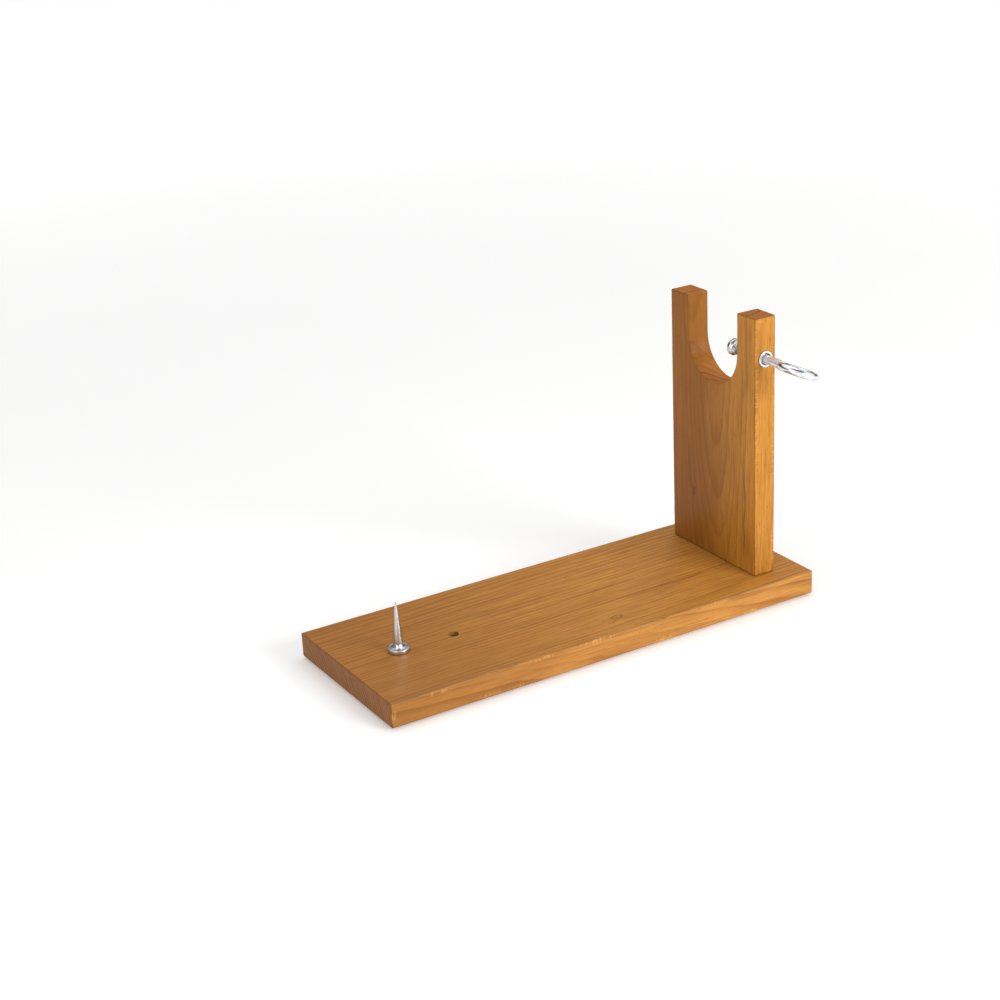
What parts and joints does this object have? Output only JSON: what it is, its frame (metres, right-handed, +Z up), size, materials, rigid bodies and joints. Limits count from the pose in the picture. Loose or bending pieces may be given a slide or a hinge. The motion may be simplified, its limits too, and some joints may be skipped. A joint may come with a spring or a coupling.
{
  "type": "ham holder stand",
  "caption": "Wooden ham holder stand: a flat base board, an upright with a U-shaped notch and an eye-bolt clamp for the hock, and a loose spike for the thick end.",
  "frame": {"origin": "centre of the stand's footprint, eye bolt included, on the surface that its pads rest on", "axes": "+X along the base board towards the upright, +Y away from the eye bolt's side, +Z up"},
  "size_m": [0.39, 0.1854, 0.2388],
  "materials": {
    "board_wood": "honey-stained softwood, satin varnish, grain along the board",
    "upright_wood": "honey-stained softwood, satin varnish, grain upright",
    "dowel_wood": "raw fluted beech",
    "zinc_plate": "bright zinc plate on steel",
    "screw_steel": "yellow-passivated steel",
    "stainless_steel": "turned stainless steel",
    "pad_rubber": "matt black rubber"
  },
  "bodies": {
    "stand": {"base_board": "board_wood", "upright_board": "upright_wood", "dowel_1": "dowel_wood", "dowel_2": "dowel_wood", "wood_screw_1": "screw_steel", "wood_screw_2": "screw_steel", "threaded_insert": "zinc_plate", "anti_slip_pad_front_left": "pad_rubber", "anti_slip_pad_front_right": "pad_rubber", "anti_slip_pad_back_left": "pad_rubber", "anti_slip_pad_back_right": "pad_rubber"},
    "pressure_pad": {"pressure_pad": "stainless_steel"},
    "eye_bolt": {"eye_bolt": "zinc_plate"},
    "ham_spike": {"ham_spike": "stainless_steel"}
  },
  "joints": [
    {"name": "clamp_travel", "type": "slide", "parent": "stand", "child": "pressure_pad", "axis": [0, 1, 0], "range_m": [-0.00813, 0.00438]},
    {"name": "clamp_turn", "type": "hinge", "parent": "pressure_pad", "child": "eye_bolt", "pos_m": [0.16, -0.03575, 0.2051], "axis": [0, 1, 0], "range_deg": [-2341, 1261]},
    {"name": "spike_lift", "type": "slide", "parent": "stand", "child": "ham_spike", "axis": [0, 0, 1], "range_m": [0, 0.02]}
  ],
  "couplings": [
    {"joint": "clamp_turn", "follows": "clamp_travel", "rad_per_m": 5026.5}
  ]
}
